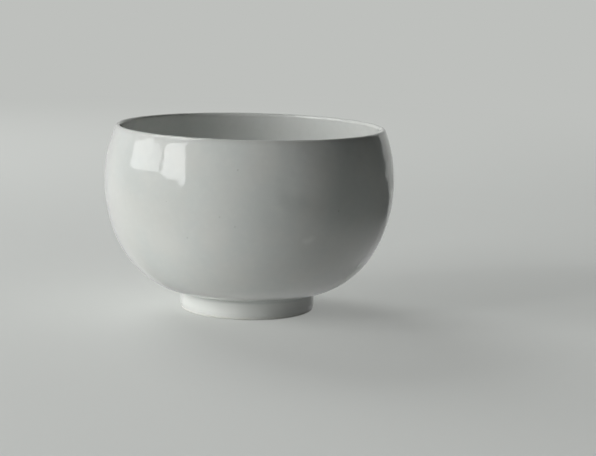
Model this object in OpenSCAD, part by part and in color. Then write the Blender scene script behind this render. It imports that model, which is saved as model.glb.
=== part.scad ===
// A round-bellied porcelain bowl on a low foot ring.
// The thrown body, the foot ring luted under it, the slip in their joint and the coats of
// glaze are separate solids that meet face to face. Every solid is a turned section: the
// modules that end in _section are drawn with X as the radius and Y as the height.
// Millimetres. The axis of the bowl is Z, and the foot stands on the plane Z = 0.

/* [Bowl] */
// Diameter of the belly at its widest line, over the glaze
belly_d = 145; // [130:1:165]
// Height of the belly curve, from the widest line down to where it runs out level
belly_h = 55.8; // [45:0.1:65]
// How far the level end of the belly curve lies inside the outer face of the foot ring
foot_lap = 2.3; // [1:0.1:2.9]
// Height of the shoulder, from the widest line up to the crest of the lip
shoulder_h = 27.1; // [15:0.1:35]
// Radius of the shoulder curve, over the glaze
shoulder_r = 70; // [55:0.5:90]
// How far the rounded lip stands out from the wall on each side
lip_swell = 0.1; // [0.05:0.05:0.4]
// Thickness of the porcelain wall
wall_t = 2.2; // [1.6:0.1:3.2]
// Thickness of the porcelain floor in its middle
floor_t = 4.4; // [3:0.1:7]
// How far the edge of the floor lies inside the end of the belly curve
floor_inset = 1.5; // [0:0.1:4]
// Diameter of the shallow dish in the floor
dish_d = 50; // [30:1:54]
// Depth of the shallow dish in the floor
dish_h = 0.8; // [0.3:0.1:1.5]

/* [Foot ring] */
// Diameter of the foot ring, over the glaze
foot_d = 67.6; // [60:0.1:72]
// Height from the table to the flat seat turned on the underside of the body
seat_z = 10.15; // [7:0.05:16]
// How much is turned off the end of the belly curve to make the flat seat
seat_cut = 0.25; // [0.1:0.05:0.6]
// Thickness of the wall of the foot ring
foot_t = 5; // [4:0.1:7]
// Radius of the outer bottom edge of the foot ring, over the glaze
foot_round = 2; // [1:0.1:2.4]
// Radius of the inner bottom edge of the foot ring
foot_edge = 0.8; // [0.4:0.1:1.2]

/* [Luting joint] */
// Thickness of the slip between the foot ring and the seat
slip_t = 0.4; // [0.2:0.1:0.8]
// Radius of the cove that the slip is wiped to, on each side of the foot ring
cove_r = 1.2; // [0.8:0.1:1.8]

/* [Glaze] */
// Thickness of each coat of glaze
glaze_t = 0.3; // [0.2:0.05:0.4]
// Height of the bare band wiped round the bottom of the foot
bare_h = 1.5; // [1.2:0.1:3]

/* [Hidden] */
$fn = 180;

belly_r = belly_d / 2;
belly_z = seat_z - seat_cut - glaze_t + belly_h; // height of the widest line
coat_t = wall_t + 2 * glaze_t;                   // wall with a coat on each side
reach = 2 * belly_d;                             // longer than any section

level_r = foot_d / 2 - foot_lap;                 // where the belly curve runs out level
belly_w = belly_r - level_r;                     // width of the belly curve
floor_r = level_r - floor_inset;                 // edge of the glazed floor
floor_z = seat_z + floor_t + dish_h + glaze_t;   // height of the glazed floor at its edge
dish_r = (dish_d * dish_d / 4 + dish_h * dish_h) / (2 * dish_h);

lip_r = coat_t / 2 + lip_swell;
shoulder_c = [belly_r - shoulder_r, belly_z];
lip_a = asin((shoulder_h - lip_r) / (shoulder_r - coat_t / 2)); // lean of the wall at the lip
lip_dir = [cos(lip_a), sin(lip_a)];
lip_c = shoulder_c + (shoulder_r - coat_t / 2) * lip_dir;

ring_out = foot_d / 2 - glaze_t;                 // outer wall of the bare ring
ring_in = ring_out - foot_t;                     // inner wall of the bare ring
ring_mid = (ring_out + ring_in) / 2;
round_c = [foot_d / 2 - foot_round, foot_round - glaze_t];
edge_c = [ring_in + foot_edge, foot_edge];
arc_step = 9;                                    // degrees between points on small edges

// Points on an arc, in order, from angle a0 to angle a1
function arc(c, r, a0, a1) =
    let (n = max(1, ceil(abs(a1 - a0) / arc_step)))
    [for (i = [0:n]) c + r * [cos(a0 + (a1 - a0) * i / n), sin(a0 + (a1 - a0) * i / n)]];

// Quarter of an ellipse that hangs below the widest line, with the block between it and the axis
module below_widest(centre_r, w, h) {
    intersection() {
        translate([centre_r, belly_z]) scale([w, h]) circle(r = 1);
        translate([centre_r, belly_z - 2 * h]) square([2 * w, 2 * h]);
    }
    translate([0, belly_z - h]) square([centre_r, h]);
}

// The outside below the widest line, down to the flat seat; depth is measured in from the glaze
module outside_section(depth) {
    intersection() {
        below_widest(level_r, belly_w - depth, belly_h - depth);
        translate([0, seat_z - glaze_t + depth]) square([reach, reach]);
    }
}

// The hollow below the widest line; depth is measured out from the glazed surface
module hollow_section(depth) {
    below_widest(floor_r, belly_r - coat_t - floor_r + depth, belly_z - floor_z + depth);
    intersection() {
        translate([0, floor_z - dish_h + dish_r]) circle(r = dish_r + depth);
        translate([0, floor_z - dish_h - depth - floor_t]) square([floor_r, floor_t + dish_h + 2 * depth]);
    }
}

// The band of shoulder between two depths in from the outer glaze
module shoulder_section(from, to) {
    intersection() {
        difference() {
            translate(shoulder_c) circle(r = shoulder_r - from);
            translate(shoulder_c) circle(r = shoulder_r - to);
        }
        polygon([shoulder_c, shoulder_c + [reach, 0], shoulder_c + reach * lip_dir]);
    }
}

module lip_section(r) {
    translate(lip_c) circle(r = r);
}

module body_section() {
    difference() {
        outside_section(glaze_t);
        hollow_section(glaze_t);
    }
    shoulder_section(glaze_t, coat_t - glaze_t);
    lip_section(lip_r - glaze_t);
}

module ring_section() {
    polygon(concat(
        [[ring_out, seat_z - slip_t], [ring_in, seat_z - slip_t]],
        arc(edge_c, foot_edge, 180, 270),
        arc(round_c, foot_round - glaze_t, 270, 360)
    ));
}

// Slip in the joint: a flat ring that turns down into a cove on each side
module slip_section() {
    cove_z = seat_z - cove_r;
    difference() {
        polygon(concat(
            [[ring_in - cove_r, seat_z + floor_t / 2]],
            arc([ring_in - cove_r, cove_z], cove_r, 90, 0),
            [[ring_in, seat_z - slip_t], [ring_out, seat_z - slip_t]],
            arc([ring_out + cove_r, cove_z], cove_r, 180, 90),
            [[ring_out + cove_r, seat_z + floor_t / 2]]
        ));
        body_section();
        ring_section();
    }
}

// Coat on the outside of the foot, from the bare band up and round the cove
module foot_coat_section() {
    start_a = min(0, asin((bare_h - round_c[1]) / foot_round));
    polygon(concat(
        [[ring_mid, seat_z], [ring_mid, bare_h]],
        arc(round_c, foot_round, start_a, 0),
        bare_h > round_c[1] ? [[foot_d / 2, bare_h]] : [],
        arc([ring_out + cove_r, seat_z - cove_r], cove_r - glaze_t, 180, 90),
        [[ring_out + cove_r, seat_z]]
    ));
}

module outer_glaze_section() {
    difference() {
        union() {
            difference() {
                outside_section(0);
                outside_section(glaze_t);
                square([ring_out, seat_z]);
            }
            foot_coat_section();
            shoulder_section(0, glaze_t);
            intersection() {
                lip_section(lip_r);
                translate([lip_c[0], lip_c[1] - lip_r]) square(2 * lip_r);
            }
        }
        body_section();
        ring_section();
        slip_section();
    }
}

module inner_glaze_section() {
    difference() {
        union() {
            difference() {
                hollow_section(glaze_t);
                hollow_section(0);
            }
            shoulder_section(coat_t - glaze_t, coat_t);
            intersection() {
                lip_section(lip_r);
                translate([lip_c[0] - 2 * lip_r, lip_c[1] - lip_r]) square(2 * lip_r);
            }
        }
        body_section();
    }
}

module well_glaze_section() {
    well_z = seat_z - glaze_t;
    difference() {
        translate([0, bare_h]) square([ring_mid, seat_z - bare_h]);
        polygon(concat(
            [[0, 0], [0, well_z]],
            arc([ring_in - cove_r, seat_z - cove_r], cove_r - glaze_t, 90, 0),
            [[ring_in - glaze_t, 0]]
        ));
        ring_section();
        slip_section();
    }
}

module bowl_body() {
    color([0.88, 0.88, 0.86]) rotate_extrude() body_section();
}

module foot_ring() {
    color([0.86, 0.84, 0.80]) rotate_extrude() ring_section();
}

module luting_slip() {
    color([0.82, 0.80, 0.75]) rotate_extrude() slip_section();
}

module outer_glaze() {
    color([0.77, 0.80, 0.78]) rotate_extrude() outer_glaze_section();
}

module inner_glaze() {
    color([0.79, 0.81, 0.79]) rotate_extrude() inner_glaze_section();
}

module well_glaze() {
    color([0.75, 0.78, 0.76]) rotate_extrude() well_glaze_section();
}

bowl_body();
foot_ring();
luting_slip();
outer_glaze();
inner_glaze();
well_glaze();
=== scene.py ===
# Looks of a round-bellied porcelain bowl on a low foot ring, in metres, in the frame of the
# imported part. The skins of glaze and the turned foot are built again as fine meshes that carry
# what the plain solids leave out: the slow unevenness of a hand-thrown wall under its glaze, one
# shallow dent, the faint throwing spiral inside, the wavering edge where the glaze was wiped off
# the foot, and the turning marks on the bare rim. The clay body and the slip in the joint stay as
# they are. Three soft panels and two window panes light the bowl; cards that only its gloss sees
# stand for the rest of the room.
import math

import bpy
import numpy as np
from mathutils import Matrix, Vector


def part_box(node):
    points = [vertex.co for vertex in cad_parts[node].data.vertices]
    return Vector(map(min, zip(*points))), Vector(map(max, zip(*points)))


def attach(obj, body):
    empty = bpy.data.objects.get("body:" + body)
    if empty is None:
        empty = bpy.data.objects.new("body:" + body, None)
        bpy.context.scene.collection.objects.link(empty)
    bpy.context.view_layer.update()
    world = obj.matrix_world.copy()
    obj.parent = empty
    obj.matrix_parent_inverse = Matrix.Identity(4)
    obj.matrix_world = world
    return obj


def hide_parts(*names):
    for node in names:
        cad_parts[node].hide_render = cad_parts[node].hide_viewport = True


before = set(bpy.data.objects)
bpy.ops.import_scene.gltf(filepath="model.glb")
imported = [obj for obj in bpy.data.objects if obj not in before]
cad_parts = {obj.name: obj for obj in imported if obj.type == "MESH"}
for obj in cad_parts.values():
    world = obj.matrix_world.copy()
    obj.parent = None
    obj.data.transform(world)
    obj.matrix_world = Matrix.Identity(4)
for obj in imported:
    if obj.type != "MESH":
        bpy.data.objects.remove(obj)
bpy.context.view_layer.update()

MM = 0.001

# ---------------------------------------------------------------- sizes, in millimetres
outer_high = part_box("outer_glaze")[1]
foot_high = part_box("foot_ring")[1]

CREST_Z = outer_high.z / MM          # crest of the lip
BELLY_R = 72.5                       # belly at its widest line, over the glaze
BELLY_Z = 65.4                       # height of the widest line
LEVEL_R = 31.5                       # where the curve of the belly runs out level
BELLY_H = 55.8                       # height of that curve
SHOULDER_R = 70.0                    # radius of the shoulder curve
COAT_T = 2.8                         # wall with its two coats
LIP_R = 1.5                          # radius of the rounded lip
SEAT_Z = 9.85                        # glazed underside of the body, at the foot
FLOOR_R = 30.0                       # edge of the glazed floor inside
FLOOR_Z = 15.65                      # height of the glazed floor at its edge
DISH_R = 25.0                        # shallow dish in the floor
DISH_H = 0.8
FOOT_R = 33.8                        # foot ring, over the glaze
CLAY_R = foot_high.x / MM            # foot ring, bare
WELL_R = 28.5                        # inner wall of the bare foot ring
FOOT_ROUND = 2.0                     # outer bottom edge, over the glaze
FOOT_EDGE = 0.8                      # inner bottom edge
RING_TOP = foot_high.z / MM
COVE_R = 0.9                         # cove on each side of the foot, over the glaze
GLAZE_T = 0.3                        # coat of glaze
GLAZE_LINE = 1.5                     # height of the edge of the glaze on the foot

SEGMENTS = 360                       # points round each ring
STEP = 1.0                           # length of a face along the profile
FINE_STEP = 0.16                     # the same at the lip, the coves and the edge of the glaze
STEP_GROWTH = 0.25                   # how much longer a face gets with each mm away from there
PROFILE_STEP = 0.1                   # spacing of the points that profiles are drawn with
EVEN_STEP = 0.05                     # and of the evenly spaced points made from them
SAME_POINT = 1e-6                    # points closer than this are one
NUDGE = 0.02                         # small step along a surface, to find its normals
SOFTEN = 0.4                         # how far glaze rounds off a crease of the clay


# ---------------------------------------------------------------- profiles
def arc(centre, radii, start, stop, step=PROFILE_STEP):
    """Points on an elliptical arc; angles in degrees, 0 outwards and 90 up."""
    count = max(2, int(abs(math.radians(stop - start)) * max(radii) / step))
    a = np.radians(np.linspace(start, stop, count))
    return np.column_stack((centre[0] + radii[0] * np.cos(a), centre[1] + radii[1] * np.sin(a)))


def line(a, b, step=PROFILE_STEP):
    count = max(2, int(math.dist(a, b) / step))
    return np.linspace(a, b, count)


def softened(points):
    """The profile at an even spacing, with its creases rounded as glaze rounds them."""
    keep = np.append(True, np.linalg.norm(np.diff(points, axis=0), axis=1) > SAME_POINT)
    points = points[keep]
    s = np.append(0, np.cumsum(np.linalg.norm(np.diff(points, axis=0), axis=1)))
    even = np.linspace(0, s[-1], int(s[-1] / EVEN_STEP) + 1)
    out = np.column_stack([np.interp(even, s, points[:, i]) for i in (0, 1)])
    width = int(3 * SOFTEN / EVEN_STEP)
    kernel = np.exp(-0.5 * (np.arange(-width, width + 1) * EVEN_STEP / SOFTEN) ** 2)
    kernel /= kernel.sum()
    before = 2 * out[0] - out[width:0:-1]
    after = 2 * out[-1] - out[-2:-width - 2:-1]
    padded = np.vstack((before, out, after))
    return np.column_stack([np.convolve(padded[:, i], kernel, "valid") for i in (0, 1)])


def dish_z(r):
    """Height of the dish in the floor, at a radius."""
    return FLOOR_Z - DISH_H * (1 - (r / DISH_R) ** 2)


lip_lean = math.degrees(math.asin((CREST_Z - LIP_R - BELLY_Z) / (SHOULDER_R - COAT_T / 2)))
shoulder_centre = (BELLY_R - SHOULDER_R, BELLY_Z)
lip_centre = (
    shoulder_centre[0] + (SHOULDER_R - COAT_T / 2) * math.cos(math.radians(lip_lean)),
    CREST_Z - LIP_R,
)
belly_radii = (BELLY_R - LEVEL_R, BELLY_H)
seat_angle = -math.degrees(math.asin((BELLY_Z - SEAT_Z) / BELLY_H))
line_angle = math.degrees(math.asin((GLAZE_LINE - FOOT_ROUND + GLAZE_T) / FOOT_ROUND))

outside_profile = softened(np.vstack((
    arc((FOOT_R - FOOT_ROUND, FOOT_ROUND - GLAZE_T), (FOOT_ROUND,) * 2, line_angle, 0),
    line((FOOT_R, FOOT_ROUND - GLAZE_T), (FOOT_R, SEAT_Z - COVE_R)),
    arc((FOOT_R + COVE_R, SEAT_Z - COVE_R), (COVE_R,) * 2, 180, 90),
    arc((LEVEL_R, BELLY_Z), belly_radii, seat_angle, 0),
    arc(shoulder_centre, (SHOULDER_R,) * 2, 0, lip_lean),
    arc(lip_centre, (LIP_R,) * 2, lip_lean, 180 + lip_lean),
    arc(shoulder_centre, (SHOULDER_R - COAT_T,) * 2, lip_lean, 0),
    arc((FLOOR_R, BELLY_Z), (BELLY_R - COAT_T - FLOOR_R, BELLY_Z - FLOOR_Z), 0, -90),
    line((FLOOR_R, FLOOR_Z), (DISH_R, FLOOR_Z)),
    [(r, dish_z(r)) for r in np.arange(DISH_R, 0, -PROFILE_STEP)],
    [(0, FLOOR_Z - DISH_H)],
)))
well_profile = softened(np.vstack((
    line((WELL_R - GLAZE_T, GLAZE_LINE), (WELL_R - GLAZE_T, SEAT_Z - COVE_R)),
    arc((WELL_R - GLAZE_T - COVE_R, SEAT_Z - COVE_R), (COVE_R,) * 2, 0, 90),
    line((WELL_R - GLAZE_T - COVE_R, SEAT_Z), (0, SEAT_Z)),
)))


# ---------------------------------------------------------------- unevenness of the surface
SLOW, SLOW_WAVE = 0.04, 46           # depth and length of the slow waves of the wall
RIPPLE, RIPPLE_WAVE = 0.065, 10      # the ripple below the lip, that bends edges of reflections
FINE_RIPPLE, FINE_WAVE = 0.025, 5
CALM = 0.35                          # the share of both ripples that is left on the belly
CALM_FROM, CALM_TO = 3, 13           # where they calm down to it, below the widest line
THROWING = 0.004                     # rings left by throwing, outside
SPIRAL = 0.035                       # the same inside, strongest in the dish
SPIRAL_START = (2, 8)                # radii over which the spiral sets in
SPIRAL_END = (18, 52)                # radii over which it fades out
RING_PITCH = 7.5
RING_WANDER, WANDER_WAVE = 1.5, 60   # how far the rings stray from even spacing
SLOW_SEED, RIPPLE_SEED, FINE_SEED, RING_SEED, EDGE_SEED, CLAY_SEED = 7, 316, 263, 10, 12, 15
MEAN_DEPTH = 0.125                   # how far the uneven surface lies inside the plain one
SWING = 0.115                        # the most that it departs from that, either way
DENTS = [                            # azimuth from +X, height, radius and depth of dents outside
    (-65.6, 48.6, 3.0, 0.2),
]


def waves(points, length, seed, count=24):
    """Smooth noise from about -1 to 1, as a sum of plane waves of about one length in mm."""
    random = np.random.RandomState(seed)
    total = np.zeros(points.shape[:-1])
    for _ in range(count):
        direction = random.normal(size=3)
        direction /= np.linalg.norm(direction)
        k = direction * 2 * math.pi / (length * random.uniform(0.75, 1.35))
        total += np.cos(points @ k + random.uniform(0, 2 * math.pi))
    return total / math.sqrt(count / 2) / 2.2


def smooth(x, low, high):
    t = np.clip((x - low) / (high - low), 0, 1)
    return t * t * (3 - 2 * t)


def uneven(points, s, angle, inside):
    """How far the surface lies below its plain profile, in mm, always positive."""
    height = SLOW * waves(points, SLOW_WAVE, SLOW_SEED)
    ripple = RIPPLE * waves(points, RIPPLE_WAVE, RIPPLE_SEED)
    ripple += FINE_RIPPLE * waves(points, FINE_WAVE, FINE_SEED)
    lively = smooth(points[..., 2], BELLY_Z - CALM_TO, BELLY_Z - CALM_FROM)
    height += ripple * (CALM + (1 - CALM) * lively)
    wander = RING_WANDER * waves(points, WANDER_WAVE, RING_SEED)
    ring = np.cos(2 * math.pi * (s + wander) / RING_PITCH + angle)
    reach = np.hypot(points[..., 0], points[..., 1])
    if inside:
        spiral = SPIRAL * (1 - smooth(reach, *SPIRAL_END))
        height += (THROWING + spiral) * ring * smooth(reach, *SPIRAL_START)
    else:
        height += THROWING * ring
        for azimuth, z, radius, depth in DENTS:
            a = math.radians(azimuth)
            across = reach * np.abs(np.exp(1j * (angle - a)) - 1)
            height -= depth * np.exp(-(across ** 2 + (points[..., 2] - z) ** 2) / radius ** 2)
    return MEAN_DEPTH - SWING * np.tanh(height / SWING)


# ---------------------------------------------------------------- points on a turned surface
def rows(length, fine_zones):
    """Places along a profile of a length, closer together in the fine zones (start, stop)."""
    s = [0]
    while s[-1] < length:
        off = min(max(start - s[-1], s[-1] - stop, 0) for start, stop in fine_zones)
        s.append(s[-1] + min(STEP, FINE_STEP + off * STEP_GROWTH))
    return np.array(s) * length / s[-1]


def grid(profile, s, angle):
    """Points of the plain surface, and its outward normals, at s along the profile."""
    spacing = np.linalg.norm(np.diff(profile, axis=0), axis=1)
    along = np.append(0, np.cumsum(spacing))
    slope = np.gradient(profile, along, axis=0)
    slope /= np.linalg.norm(slope, axis=1)[:, None]
    r, z = (np.interp(s, along, profile[:, i]) for i in (0, 1))
    out_r, out_z = np.interp(s, along, slope[:, 1]), -np.interp(s, along, slope[:, 0])
    x, y = np.cos(angle), np.sin(angle)
    return (
        np.stack((r * x, r * y, z), axis=-1),
        np.stack((out_r * x, out_r * y, out_z), axis=-1),
    )


def length_of(profile):
    return float(np.linalg.norm(np.diff(profile, axis=0), axis=1).sum())


def place_on(profile, radius, z):
    """Distance along the profile to its point nearest (radius, z)."""
    i = int(np.argmin(np.hypot(profile[:, 0] - radius, profile[:, 1] - z)))
    return length_of(profile[:i + 1])


def spread(s):
    """Grids of the distance along the profile and of the angle, a row for each distance."""
    angles = np.linspace(0, 2 * math.pi, SEGMENTS, endpoint=False)
    return np.meshgrid(s, angles, indexing="ij")


def surface_normals(place, s, angle):
    """Normals of a surface that place(s, angle) draws, by small steps both ways."""
    along = place(s + NUDGE, angle) - place(s - NUDGE, angle)
    turn = NUDGE / BELLY_R
    around = place(s, angle + turn) - place(s, angle - turn)
    n = np.cross(around, along)
    return n / np.linalg.norm(n, axis=-1)[..., None]


# ---------------------------------------------------------------- meshes
def ring_faces(first, second):
    """Quads between two rings of vertices that start at those indices."""
    i = np.arange(SEGMENTS)
    j = (i + 1) % SEGMENTS
    return np.column_stack((first + i, first + j, second + j, second + i))


def smooth_mesh(name, points, faces):
    mesh = bpy.data.meshes.new(name)
    mesh.from_pydata((points * MM).tolist(), [], faces)
    mesh.polygons.foreach_set("use_smooth", [True] * len(mesh.polygons))
    return mesh


def piece_of(mesh):
    """The mesh as a piece of its own name, on the bowl's one body."""
    piece = bpy.data.objects.new(mesh.name, mesh)
    bpy.context.scene.collection.objects.link(piece)
    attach(piece, "root")
    return piece


def skin(name, shown, normals, backing, poles=None):
    """A closed coat: the shown grid, and a plain backing grid in the same order behind it. Where
    both end round the axis, poles gives the point that closes each. Normals of the shown side are
    exact, so that reflections don't show its faces."""
    back = len(shown) * SEGMENTS
    last, back_last = back - SEGMENTS, back + (len(backing) - 1) * SEGMENTS
    faces = [ring_faces(row, row + SEGMENTS) for row in range(0, last, SEGMENTS)]
    faces += [ring_faces(row + SEGMENTS, row) for row in range(back, back_last, SEGMENTS)]
    faces.append(ring_faces(back, 0))
    if not poles:
        faces.append(ring_faces(last, back_last))
    faces = [tuple(face) for face in np.vstack(faces).tolist()]
    quads = len(faces)
    points = np.vstack((shown.reshape(-1, 3), backing.reshape(-1, 3)))
    point_normals = np.vstack((normals.reshape(-1, 3), np.zeros((backing.size // 3, 3))))
    if poles:
        tip, back_tip = len(points), len(points) + 1
        points = np.vstack((points, *poles))
        point_normals = np.vstack((point_normals, normals[-1].mean(axis=0), (0, 0, 0)))
        for i in range(SEGMENTS):
            j = (i + 1) % SEGMENTS
            faces.append((last + i, last + j, tip))
            faces.append((back_last + j, back_last + i, back_tip))
    mesh = smooth_mesh(name, points, faces)
    corner_points = np.zeros(len(mesh.loops), int)
    mesh.loops.foreach_get("vertex_index", corner_points)
    corner_normals = point_normals[corner_points]
    corner_normals[4 * last:4 * quads] = 0          # the backing and the edges keep plain normals
    mesh.normals_split_custom_set(corner_normals.tolist())
    mesh.update()
    return piece_of(mesh)


def ring_solid(name, points):
    """A closed ring: the grid's first and last rows are joined by a flat face all round."""
    back_to_first = len(points) * SEGMENTS
    faces = [
        ring_faces(row, (row + SEGMENTS) % back_to_first)
        for row in range(0, back_to_first, SEGMENTS)
    ]
    mesh = smooth_mesh(name, points.reshape(-1, 3), np.vstack(faces).tolist())
    for face in mesh.polygons[-SEGMENTS:]:
        face.use_smooth = False
    return piece_of(mesh)


# ---------------------------------------------------------------- the coats of glaze
BACK = GLAZE_T - 0.01                # depth of the back of a coat
LINE_WAVER, LINE_WAVE = 0.35, 9      # how far the wiped edge of the glaze wanders upwards
LINE_RAGGED, RAGGED_WAVE = 0.2, 3    # share of finer raggedness in it
LINE_FADE = 5                        # length over which that wandering ends
TAPER = 1.8                          # length over which the glaze thins out to its edge
TURNOVER = 6.0                       # length over which the outside goes over to the inside
EDGE_ZONE = (0, 1.4)                 # finer faces along the profile: at the edge of the glaze,
JOINT_BEFORE, JOINT_AFTER = 1.5, 2   # at the joint of the foot,
CREST_ZONE = 4                       # and on each side of the crest of the lip

crest_s = place_on(outside_profile, lip_centre[0], CREST_Z)
joint_s = place_on(outside_profile, FOOT_R, SEAT_Z)
well_joint_s = place_on(well_profile, WELL_R - GLAZE_T, SEAT_Z)


def coat(profile, s, angle, inside, wiped):
    """Points of an uneven glazed surface. Where wiped, it starts at the edge of the glaze."""
    moved = s
    if wiped:
        ring = np.stack((np.cos(angle), np.sin(angle), angle * 0), axis=-1) * FOOT_R
        ragged = LINE_RAGGED * waves(ring, RAGGED_WAVE, EDGE_SEED + 1)
        waver = 0.5 + 0.5 * waves(ring, LINE_WAVE, EDGE_SEED) + ragged
        moved = s + LINE_WAVER * waver * (1 - smooth(s, 0, LINE_FADE))
    points, out = grid(profile, moved, angle)
    depth = uneven(points, moved, angle, inside)
    if wiped:
        depth = BACK + (depth - BACK) * smooth(s, 0, TAPER)
    return points - out * depth[..., None]


def glazed(s, angle):
    """The glaze of the bowl from the foot over the lip to the middle of the floor."""
    over = smooth(s, crest_s - TURNOVER, crest_s + TURNOVER)[..., None]
    outer = coat(outside_profile, s, angle, False, True)
    return outer * (1 - over) + coat(outside_profile, s, angle, True, False) * over


def glazed_in_well(s, angle):
    return coat(well_profile, s, angle, False, True)


def backing(profile, s):
    """The back of a coat, with half as many rows."""
    points, out = grid(profile, *spread(s[::2]))
    return points - out * BACK


full_s = rows(length_of(outside_profile), [
    EDGE_ZONE, (joint_s - JOINT_BEFORE, joint_s + JOINT_AFTER),
    (crest_s - CREST_ZONE, crest_s + CREST_ZONE),
])
crest_row = int(np.argmin(abs(full_s - crest_s)))
outside_s, inside_s = full_s[:crest_row + 1], full_s[crest_row:-1]
outside = skin(
    "glazed_outside", glazed(*spread(outside_s)), surface_normals(glazed, *spread(outside_s)),
    backing(outside_profile, outside_s),
)
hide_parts("outer_glaze")

inside = skin(
    "glazed_inside", glazed(*spread(inside_s)), surface_normals(glazed, *spread(inside_s)),
    backing(outside_profile, inside_s),
    poles=((0, 0, FLOOR_Z - DISH_H - MEAN_DEPTH), (0, 0, FLOOR_Z - DISH_H - BACK)),
)
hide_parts("inner_glaze")

well_s = rows(length_of(well_profile), [
    EDGE_ZONE, (well_joint_s - JOINT_BEFORE, well_joint_s + JOINT_AFTER),
])[:-1]
well = skin(
    "glazed_well", glazed_in_well(*spread(well_s)), surface_normals(glazed_in_well, *spread(well_s)),
    backing(well_profile, well_s),
    poles=((0, 0, SEAT_Z + MEAN_DEPTH), (0, 0, SEAT_Z + BACK)),
)
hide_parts("well_glaze")

# ---------------------------------------------------------------- the bare foot
GROOVE = 0.04                        # depth of the turning marks on the bare rim
GROOVE_PITCH = 0.55
GROOVE_SWAY, SWAY_WAVE = 2, 20       # how far the marks sway, in radians, and over what length
MARKS_END = (1.2, 2.0)               # heights between which the marks end
PIT_DEPTH, PIT_WAVE = 0.12, 1.6      # pits in the bare clay
PIT_LEVEL = 0.75                     # how rare they are, from 0 to 1
WALL_STEP, RIM_STEP = 1.2, 0.09      # length of a face on the walls and on the rim

foot_profile = np.vstack((
    line((WELL_R, RING_TOP), (WELL_R, FOOT_EDGE), WALL_STEP),
    arc((WELL_R + FOOT_EDGE, FOOT_EDGE), (FOOT_EDGE,) * 2, 180, 270),
    line((WELL_R + FOOT_EDGE, 0), (FOOT_R - FOOT_ROUND, 0), RIM_STEP),
    arc((FOOT_R - FOOT_ROUND, FOOT_ROUND - GLAZE_T), (FOOT_ROUND - GLAZE_T,) * 2, 270, 360, RIM_STEP),
    line((CLAY_R, FOOT_ROUND - GLAZE_T), (CLAY_R, RING_TOP), WALL_STEP),
))
steps = np.linalg.norm(np.diff(foot_profile, axis=0), axis=1)
foot_profile = foot_profile[np.append(True, steps > SAME_POINT)]
foot_s, foot_a = spread(np.append(0, np.cumsum(steps[steps > SAME_POINT])))
foot_points, foot_out = grid(foot_profile, foot_s, foot_a)
sway = GROOVE_SWAY * waves(foot_points, SWAY_WAVE, CLAY_SEED)
marks = GROOVE * (0.5 + 0.5 * np.cos(2 * math.pi * foot_s / GROOVE_PITCH + foot_a + sway))
pits = PIT_DEPTH * np.clip(waves(foot_points, PIT_WAVE, CLAY_SEED + 1) - PIT_LEVEL, 0, 1)
low_band = 1 - smooth(foot_points[..., 2], *MARKS_END)
foot_points = foot_points - foot_out * (low_band * (marks + pits))[..., None]
foot = ring_solid("turned_foot", foot_points)
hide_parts("foot_ring")


# ---------------------------------------------------------------- help with node trees
def srgb(r, g, b):
    """Linear colour from values 0 to 255 as they show on a screen."""
    shares = (r / 255, g / 255, b / 255)
    linear = [c / 12.92 if c <= 0.04045 else ((c + 0.055) / 1.055) ** 2.4 for c in shares]
    return (*linear, 1)


def ramp(tree, value, low, high, to_low, to_high):
    """A number that goes smoothly from to_low to to_high while a value goes from low to high."""
    node = tree.nodes.new("ShaderNodeMapRange")
    node.interpolation_type = "SMOOTHSTEP"
    tree.links.new(value, node.inputs["Value"])
    limits = {"From Min": low, "From Max": high, "To Min": to_low, "To Max": to_high}
    for key, number in limits.items():
        node.inputs[key].default_value = number
    return node.outputs["Result"]


def combine(tree, operation, *values):
    """One number from several, by a math operation on each pair in turn."""
    result = values[0]
    for value in values[1:]:
        node = tree.nodes.new("ShaderNodeMath")
        node.operation = operation
        tree.links.new(result, node.inputs[0])
        tree.links.new(value, node.inputs[1])
        result = node.outputs[0]
    return result


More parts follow.
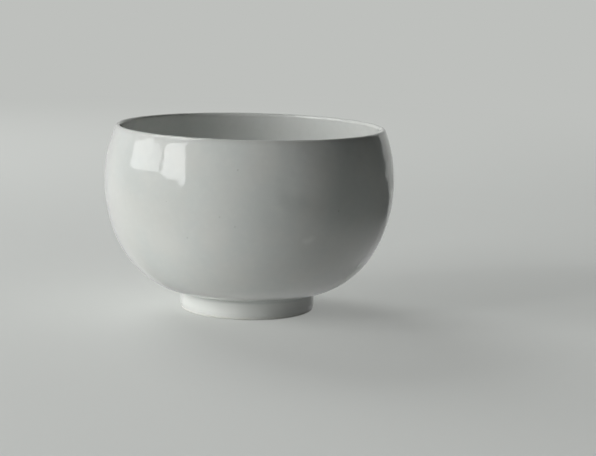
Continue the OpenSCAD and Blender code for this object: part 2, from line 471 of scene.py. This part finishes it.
class Graph:
    """A material's node tree, written from the texture end to the shader."""

    def __init__(self, name):
        self.material = bpy.data.materials.new(name)
        self.material.use_nodes = True
        self.tree = self.material.node_tree
        self.shader = self.tree.nodes["Principled BSDF"]
        coordinates = self.tree.nodes.new("ShaderNodeTexCoord")
        place = self.node("ShaderNodeVectorMath", operation="SCALE")
        self.tree.links.new(coordinates.outputs["Object"], place.inputs[0])
        place.inputs["Scale"].default_value = 1 / MM
        self.mm = place.outputs[0]
        axes = self.node("ShaderNodeSeparateXYZ")
        self.tree.links.new(self.mm, axes.inputs[0])
        self.x, self.y, self.z = axes.outputs

    def node(self, kind, **settings):
        made = self.tree.nodes.new(kind)
        for key, value in settings.items():
            setattr(made, key, value)
        return made

    def set(self, socket, value):
        if isinstance(value, bpy.types.NodeSocket):
            self.tree.links.new(value, socket)
        else:
            socket.default_value = value

    def surface(self, colour, roughness, normal, ior):
        self.set(self.shader.inputs["Base Color"], colour)
        self.set(self.shader.inputs["Roughness"], roughness)
        self.set(self.shader.inputs["Normal"], normal)
        self.shader.inputs["IOR"].default_value = ior
        return self.material

    def noise(self, size, detail=2.0):
        n = self.node("ShaderNodeTexNoise")
        self.set(n.inputs["Vector"], self.mm)
        n.inputs["Scale"].default_value = 1 / size
        n.inputs["Detail"].default_value = detail
        return n.outputs["Fac"]

    def ramp(self, value, low, high, to_low=0.0, to_high=1.0):
        return ramp(self.tree, value, low, high, to_low, to_high)

    def math(self, operation, a, b=0.0):
        n = self.node("ShaderNodeMath", operation=operation)
        self.set(n.inputs[0], a)
        self.set(n.inputs[1], b)
        return n.outputs[0]

    def times(self, a, b):
        return self.math("MULTIPLY", a, b)

    def mix(self, amount, a, b):
        n = self.node("ShaderNodeMix", data_type="RGBA")
        self.set(n.inputs["Factor"], amount)
        self.set(n.inputs[6], a)
        self.set(n.inputs[7], b)
        return n.outputs[2]

    def radius(self):
        squares = self.math("ADD", self.times(self.x, self.x), self.times(self.y, self.y))
        return self.math("SQRT", squares)

    def specks(self, cell, size, share):
        """Small round specks of about one size in mm, in a share of the cells of a grid."""
        n = self.node("ShaderNodeTexVoronoi")
        self.set(n.inputs["Vector"], self.mm)
        n.inputs["Scale"].default_value = 1 / cell
        split = self.node("ShaderNodeSeparateColor")
        self.tree.links.new(n.outputs["Color"], split.inputs[0])
        chosen = self.math("LESS_THAN", split.outputs[0], share)
        return self.times(chosen, self.ramp(n.outputs["Distance"], size / cell * 0.35, size / cell, 1, 0))

    def spot(self, centre, radius):
        """1 at one place, in mm, going down to 0 at the radius."""
        n = self.node("ShaderNodeVectorMath", operation="DISTANCE")
        self.set(n.inputs[0], self.mm)
        n.inputs[1].default_value = centre
        return self.ramp(n.outputs["Value"], radius * 0.3, radius, 1, 0)

    def bump(self, height, depth):
        n = self.node("ShaderNodeBump")
        n.inputs["Strength"].default_value = 1.0
        n.inputs["Distance"].default_value = depth * MM
        self.set(n.inputs["Height"], height)
        return n.outputs["Normal"]


# ---------------------------------------------------------------- glaze
GREY, COOL_GREY = srgb(208, 209, 205), srgb(204, 207, 204)     # the outside, in slow patches
LIT_INSIDE, COOL_LIT_INSIDE = srgb(223, 224, 221), srgb(220, 222, 219)     # the inside: the same glaze painted paler, as painted light
MOTTLE = srgb(212, 214, 210)         # small lighter patches in both
# glaze where it gathers, greener; and painted shade for the lip, darker
THICK, LIP_SHADE = srgb(190, 198, 194), srgb(196, 197, 193)
# painted light: the glazed foot paler, for light from below
LIT_FOOT = srgb(232, 233, 230)
# painted highlight on the lit side of the dent
DENT_HIGHLIGHT = srgb(235, 236, 232)
IRON = srgb(120, 112, 98)
PIT_GREY = srgb(150, 150, 143)
PATCH_SIZE, MOTTLE_SIZE = 22, 3.5    # in mm, as are all sizes here
WANDER, WANDER_SIZE = 1.6, 6         # how far the edges of thick and thin glaze wander
LIP_SHADE_BAND = (3.0, 0.3)                # where the painted shade of the lip lies, below its crest
JOINT_POOL = (0.4, 2.6)              # where gathered glaze ends, away from the joint of the foot
POOL_RIM = (3, 6)                    # and outwards from the foot
LIT_FOOT_BAND = (2.5, 0.5)               # where the painted light on the foot ends, below the joint
DISH_POOL = (-9, 4)                  # where gathered glaze ends, from the edge of the dish
DISH_TOP = (1, 6)                    # and above the edge of the floor
PIT_BUMP = 0.16
PITS = [                             # places and radii of pits in the glaze outside
    ((-5.5, -71.0, 78.9), 0.55), ((42.3, -58.5, 58.9), 0.6), ((-28.7, -63.6, 45.4), 0.6),
    ((-6.3, -71.1, 52.3), 0.5), ((-13.6, -70.7, 56.7), 0.5), ((-38.9, -61.1, 61.8), 0.5),
]
# A painted highlight in a crescent at the dent, where its side faces the light: in the first ball
# # and not in the second.
CRESCENT_HIGHLIGHT = (((28.0, -64.6, 46.9), 4.6), ((27.6, -65.3, 49.1), 5.4))


def at_joint(g, colour, wander):
    """Thick glaze in the joint of the foot, and glaze painted paler below it on the foot, as painted
    light from below.
    """
    off = g.math("ABSOLUTE", g.math("SUBTRACT", g.z, SEAT_Z))
    pooled = g.ramp(g.math("ADD", off, wander), *JOINT_POOL, 1, 0)
    by_foot = g.ramp(g.radius(), FOOT_R + POOL_RIM[0], FOOT_R + POOL_RIM[1], 1, 0)
    colour = g.mix(g.times(g.times(pooled, by_foot), 0.35), colour, THICK)
    lit_foot = g.ramp(g.z, SEAT_Z - LIT_FOOT_BAND[0], SEAT_Z - LIT_FOOT_BAND[1], 0.7, 0)
    return g.mix(lit_foot, colour, LIT_FOOT)


def in_dish(g, colour, wander):
    """Thick glaze in the dish of the floor."""
    reach = g.math("ADD", g.radius(), wander)
    pooled = g.ramp(reach, DISH_R + DISH_POOL[0], DISH_R + DISH_POOL[1], 1, 0)
    low = g.ramp(g.z, FLOOR_Z + DISH_TOP[0], FLOOR_Z + DISH_TOP[1], 1, 0)
    return g.mix(g.times(g.times(pooled, low), 0.5), colour, THICK)


def with_dent_highlight(g, colour):
    """A pale crescent at the foot of the dent: painted highlight where the dent's side faces the light.
    """
    first, second = (g.spot(*ball) for ball in CRESCENT_HIGHLIGHT)
    edge = g.math("MAXIMUM", g.math("SUBTRACT", first, second), 0)
    return g.mix(g.times(edge, 0.6), colour, DENT_HIGHLIGHT)


def glaze_material(name, body, cool, gathered, pits=(), dent_highlight=False):
    """Clear, slightly grey glaze: a little darker at the lip, which is painted shade, greener where it
    gathers, with specks of iron, small pits and a hard gloss."""
    g = Graph(name)
    colour = g.mix(g.ramp(g.noise(PATCH_SIZE, 3), 0.35, 0.65), body, cool)
    colour = g.mix(g.times(g.ramp(g.noise(MOTTLE_SIZE, 4), 0.45, 0.7), 0.25), colour, MOTTLE)
    wander = g.times(g.math("SUBTRACT", g.noise(WANDER_SIZE), 0.5), WANDER)
    # painted shade below the crest of the lip
    lip_shade = g.ramp(g.math("ADD", g.z, wander), CREST_Z - LIP_SHADE_BAND[0], CREST_Z - LIP_SHADE_BAND[1])
    colour = g.mix(g.times(lip_shade, 0.7), colour, LIP_SHADE)
    colour = gathered(g, colour, wander)
    if dent_highlight:
        colour = with_dent_highlight(g, colour)
    iron = g.specks(cell=6.5, size=0.22, share=0.10)
    colour = g.mix(g.times(iron, 0.35), colour, IRON)
    hole = g.specks(cell=11, size=0.35, share=0.12)
    for centre, radius in pits:
        hole = g.math("MAXIMUM", hole, g.spot(centre, radius))
    colour = g.mix(g.times(hole, 0.25), colour, PIT_GREY)
    pitted = g.bump(g.math("SUBTRACT", 1, hole), PIT_BUMP)
    g.set(g.shader.inputs["Coat Normal"], pitted)
    g.shader.inputs["Specular IOR Level"].default_value = 0.15
    g.shader.inputs["Coat Weight"].default_value = 1.0
    g.shader.inputs["Coat Roughness"].default_value = 0.0
    g.shader.inputs["Coat IOR"].default_value = 1.52
    return g.surface(colour, g.ramp(g.noise(9, 4), 0.3, 0.7, 0.30, 0.42), pitted, ior=1.5)


# ---------------------------------------------------------------- bare clay
GRAIN, TURNED, WORN = srgb(190, 186, 176), srgb(180, 176, 166), srgb(200, 197, 189)
DUST = srgb(128, 112, 92)
WEAR_TOP = (0.02, 0.35)              # heights over which the wear of the rim ends
GRAIN_SIZE, GRAIN_BUMP = 0.35, 0.02


def clay_material(name, base, stain, turned=False):
    """Bare porcelain: dry and fine-grained, with a little dust. Where turned, it has rings, and
    wear on the rim that it stands on."""
    g = Graph(name)
    colour = g.mix(g.ramp(g.noise(5, 4), 0.35, 0.7), base, stain)
    grain = g.noise(GRAIN_SIZE, 3)
    colour = g.mix(g.times(grain, 0.08), colour, GRAIN)
    height = grain
    if turned:
        across = g.math("ADD", g.radius(), g.times(g.noise(14), 0.6))
        ring = g.math("SINE", g.times(across, 2 * math.pi / GROOVE_PITCH))
        colour = g.mix(g.ramp(ring, -1, 1, 0, 0.06), colour, TURNED)
        worn = g.times(g.ramp(g.z, *WEAR_TOP, 1, 0), g.ramp(g.noise(7, 3), 0.4, 0.65, 0, 0.3))
        colour = g.mix(worn, colour, WORN)
        height = g.math("ADD", grain, g.times(ring, 0.25))
    dust = g.specks(cell=1.9, size=0.10, share=0.12)
    colour = g.mix(g.times(dust, 0.45), colour, DUST)
    roughness = g.ramp(g.noise(2.5, 3), 0.3, 0.7, 0.52, 0.68)
    return g.surface(colour, roughness, g.bump(height, GRAIN_BUMP), ior=1.45)


materials = {
    outside: glaze_material("glaze_outside", GREY, COOL_GREY, at_joint, PITS, dent_highlight=True),
    inside: glaze_material("glaze_inside", LIT_INSIDE, COOL_LIT_INSIDE, in_dish),
    well: glaze_material("glaze_well", GREY, COOL_GREY, at_joint),
    # the bare foot is paler than the body's clay: partly its own whiter colour, partly painted light from
    # below
    foot: clay_material("bare_porcelain", srgb(238, 238, 235), srgb(233, 232, 227), turned=True),
    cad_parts["bowl_body"]:
        clay_material("porcelain_body", srgb(226, 224, 218), srgb(219, 216, 208)),
    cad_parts["luting_slip"]:
        clay_material("joint_slip", srgb(212, 208, 197), srgb(203, 198, 186)),
}
for piece, material in materials.items():
    piece.data.materials.clear()
    piece.data.materials.append(material)

# ---------------------------------------------------------------- floor and background
BACKGROUND = srgb(190, 192, 189)
FLOOR_COLOUR = srgb(234, 236, 233)
FLOOR_REACH = 6.0                    # metres
FLOOR_SIDES = 96
FLOOR_GLOW = 0.50                    # share of plain background colour in the floor by the bowl
FADE = (0.3, 1.2)                    # metres from the bowl over which that share goes up to 1


def shows_background(tree):
    """1 for the rays that should see the plain background: from the camera, or off gloss."""
    path = tree.nodes.new("ShaderNodeLightPath")
    rays = ("Is Camera Ray", "Is Glossy Ray", "Is Transmission Ray")
    return combine(tree, "MAXIMUM", *(path.outputs[ray] for ray in rays))


def blank_material(name):
    """A material with no shader yet, and its node tree."""
    material = bpy.data.materials.new(name)
    material.use_nodes = True
    tree = material.node_tree
    tree.nodes.remove(tree.nodes["Principled BSDF"])
    return material, tree


def floor_material():
    """A matt floor that keeps the shadow and goes over to the plain background further off."""
    material, tree = blank_material("floor_paint")
    lit = tree.nodes.new("ShaderNodeBsdfDiffuse")
    lit.inputs["Color"].default_value = FLOOR_COLOUR
    glow = tree.nodes.new("ShaderNodeEmission")
    glow.inputs["Color"].default_value = BACKGROUND
    coordinates = tree.nodes.new("ShaderNodeTexCoord")
    distance = tree.nodes.new("ShaderNodeVectorMath")
    distance.operation = "LENGTH"
    tree.links.new(coordinates.outputs["Object"], distance.inputs[0])
    share = ramp(tree, distance.outputs["Value"], *FADE, FLOOR_GLOW, 1.0)
    blend = tree.nodes.new("ShaderNodeMixShader")
    shown = combine(tree, "MULTIPLY", share, shows_background(tree))
    for source, socket in zip((shown, lit.outputs[0], glow.outputs[0]), blend.inputs):
        tree.links.new(source, socket)
    tree.links.new(blend.outputs[0], tree.nodes["Material Output"].inputs["Surface"])
    return material


floor_mesh = bpy.data.meshes.new("floor")
rim = [
    (FLOOR_REACH * math.cos(a), FLOOR_REACH * math.sin(a), 0)
    for a in np.linspace(0, 2 * math.pi, FLOOR_SIDES, endpoint=False)
]
floor_mesh.from_pydata(rim, [], [tuple(range(FLOOR_SIDES))])
floor_mesh.materials.append(floor_material())
floor = bpy.data.objects.new("floor", floor_mesh)
bpy.context.scene.collection.objects.link(floor)

world = bpy.data.worlds.new("studio")
bpy.context.scene.world = world
world.use_nodes = True
plain = world.node_tree.nodes["Background"]
plain.inputs["Color"].default_value = BACKGROUND
world.node_tree.links.new(shows_background(world.node_tree), plain.inputs["Strength"])

# ---------------------------------------------------------------- what the gloss shows
# Directions are seen from the bowl: azimuth in degrees from the camera's side (-Y) round to the
# left (-X), elevation in degrees above the floor. Lengths are in metres.
CENTRE = Vector((0, 0, 0.055))


def direction(azimuth, elevation=0):
    a, e = math.radians(azimuth), math.radians(elevation)
    return Vector((-math.sin(a) * math.cos(e), -math.cos(a) * math.cos(e), math.sin(e)))


def pane(*corners):
    """Corners of a window pane, from the azimuth and elevation of each."""
    return [CENTRE + direction(*corner) * PANE_DISTANCE for corner in corners]


def upright(distance, *corners):
    """Corners of a card that stands at a distance, from the azimuth and height of each."""
    return [direction(azimuth) * distance + Vector((0, 0, z)) for azimuth, z in corners]


def lying(z, *corners):
    """Corners of a card that lies at a height, from the azimuth and distance of each."""
    return [direction(azimuth) * distance + Vector((0, 0, z)) for azimuth, distance in corners]


PANE_DISTANCE = 1.3
PANES = {                            # corners and strength; the panes light the bowl as well
    "pane_left": (pane((108.2, 16.5), (76.8, 25), (73.1, 5.5), (104.6, 3.1)), 2.5),
    "pane_right": (pane((73.8, 24.2), (53.3, 30), (49.2, 1.9), (72, 5.7)), 4.2),
}

# A strength that isn't one number is the least or the most of some gradients. Each gradient has
# its axis, two places on it and the strengths there.
FRONT_LIGHT = 0.85                   # under the front of the bowl; the edges are as the floor there
ROUND_FRONT = ("MINIMUM", [
    ("X", -0.16, -0.06, 0.55, FRONT_LIGHT), ("X", 0.0, 0.085, FRONT_LIGHT, 0.48),
    ("Y", -0.18, -0.09, 0.5, FRONT_LIGHT), ("Y", -0.07, -0.005, FRONT_LIGHT, 0.38),
])
AMBIENT, DARK = 0.5, 0.02            # plain towards the front and the bowl, dark on the right
DARK_SIDE = ("MAXIMUM", [("Y", -1.2, -0.1, AMBIENT, DARK), ("X", 0.06, 0.22, AMBIENT, DARK)])

ON_FLOOR, ON_FRONT = 0.001, 0.0005   # heights of the cards that lie on the floor
DARK_X = 0.8                         # the dark side of the room, to the right
DARK_FRONT, DARK_BACK = -1.6, 0.78   # how far it goes on Y
DARK_TOP = 1.6
DARK_NEAR = (0.08, 0.1)              # its nearest corner to the bowl
CARDS = {                            # corners and strength; the cards light nothing
    "window_wall": (upright(1.6, (116, 0), (46.5, 0), (46.5, 1.9), (116, 1.9)), 0.10),
    "bright_wall": (upright(1.5, (165, 0), (108.5, 0), (127, 0.53), (165, 0.53)), 0.5),
    "dark_table": (lying(ON_FLOOR, (100, 0.25), (44, 0.14), (45, 1.6), (112, 1.6)), 0.15),
    "bright_table": (lying(ON_FLOOR, (95, 0.042), (109, 1.6), (165, 1.6), (170, 0.042)), 0.6),
    "front_table": (
        lying(ON_FRONT, (90, 0.16), (41, 0.24), (-36, 0.22), (-90, 0.13)), ROUND_FRONT,
    ),
    "high_window": (upright(1, (106, 0.65), (50, 0.65), (50, 1.73), (106, 1.73)), 5),
    "dark_side": ([
        (DARK_X, DARK_FRONT, 0), (DARK_X, DARK_BACK, 0),
        (DARK_X, DARK_BACK, DARK_TOP), (DARK_X, DARK_FRONT, DARK_TOP),
    ], DARK_SIDE),
    "dark_floor": ([
        (DARK_NEAR[0], DARK_FRONT, ON_FLOOR), (DARK_X, DARK_FRONT, ON_FLOOR),
        (DARK_X, DARK_BACK, ON_FLOOR), (*DARK_NEAR, ON_FLOOR),
    ], DARK_SIDE),
}


def varied(tree, operation, gradients):
    """A strength that changes from place to place."""
    coordinates = tree.nodes.new("ShaderNodeTexCoord")
    axes = tree.nodes.new("ShaderNodeSeparateXYZ")
    tree.links.new(coordinates.outputs["Object"], axes.inputs[0])
    values = [ramp(tree, axes.outputs[axis], *limits) for axis, *limits in gradients]
    return combine(tree, operation, *values)


def glowing(name, corners, strength):
    """A flat four-sided emitter that the camera doesn't see."""
    material, tree = blank_material(name)
    emit = tree.nodes.new("ShaderNodeEmission")
    if isinstance(strength, tuple):
        tree.links.new(varied(tree, *strength), emit.inputs["Strength"])
    else:
        emit.inputs["Strength"].default_value = strength
    tree.links.new(emit.outputs[0], tree.nodes["Material Output"].inputs["Surface"])
    mesh = bpy.data.meshes.new(name)
    mesh.from_pydata(corners, [], [(0, 1, 2, 3)])
    mesh.materials.append(material)
    sheet = bpy.data.objects.new(name, mesh)
    bpy.context.scene.collection.objects.link(sheet)
    sheet.visible_camera = False
    return sheet


for name, (corners, strength) in PANES.items():
    glowing(name, corners, strength)
for name, (corners, strength) in CARDS.items():
    card = glowing(name, corners, strength)
    card.visible_diffuse = False
    card.visible_shadow = False

# ---------------------------------------------------------------- soft lights
DAYLIGHT = (0.985, 1.0, 0.995)
PANEL_DISTANCE = 1.8
PANELS = {                           # azimuth, elevation, width, height, power
    "key": (64, 16, 1.0, 0.9, 52),
    "side": (95, 25, 1.2, 1.0, 3),
    "back": (150, 30, 1.0, 1.0, 20),
}


def panel(name, azimuth, elevation, width, height, power):
    """A soft rectangular light that faces the bowl and doesn't show in its gloss."""
    lamp = bpy.data.lights.new(name, "AREA")
    lamp.shape = "RECTANGLE"
    lamp.size, lamp.size_y = width, height
    lamp.energy = power
    lamp.color = DAYLIGHT
    holder = bpy.data.objects.new(name, lamp)
    towards = direction(azimuth, elevation)
    turn = towards.to_track_quat("Z", "Y").to_matrix().to_4x4()
    holder.matrix_world = Matrix.Translation(CENTRE + towards * PANEL_DISTANCE) @ turn
    holder.visible_camera = False
    holder.visible_glossy = False
    bpy.context.scene.collection.objects.link(holder)


for name, settings in PANELS.items():
    panel(name, *settings)


# ---------------------------------------------------------------- camera
PICTURE_WIDTH = 596                  # pixels
FOCAL_PIXELS = 1809.6
SENSOR_WIDTH = 36                    # millimetres
CLIP_START = 0.01
CAMERA_PLACE = Vector((0, -0.8999, 0.1844))
YAW, PITCH, ROLL = 0.0276, 0.1579, 0.0250


def camera_axes():
    """Right, up and forward, from the three angles in radians."""
    level = math.cos(PITCH)
    forward = Vector((math.sin(YAW) * level, math.cos(YAW) * level, -math.sin(PITCH)))
    right = Vector((math.cos(YAW), -math.sin(YAW), 0))
    up = right.cross(forward)
    c, s = math.cos(ROLL), math.sin(ROLL)
    return c * right + s * up, -s * right + c * up, forward


right, up, forward = camera_axes()
turn = Matrix((right, up, -forward)).transposed().to_4x4()
lens = bpy.data.cameras.new("camera")
lens.sensor_width = SENSOR_WIDTH
lens.lens = FOCAL_PIXELS * SENSOR_WIDTH / PICTURE_WIDTH
lens.clip_start = CLIP_START
camera = bpy.data.objects.new("camera", lens)
camera.matrix_world = Matrix.Translation(CAMERA_PLACE) @ turn
bpy.context.scene.collection.objects.link(camera)
bpy.context.scene.camera = camera
bpy.context.scene.view_settings.view_transform = "Standard"
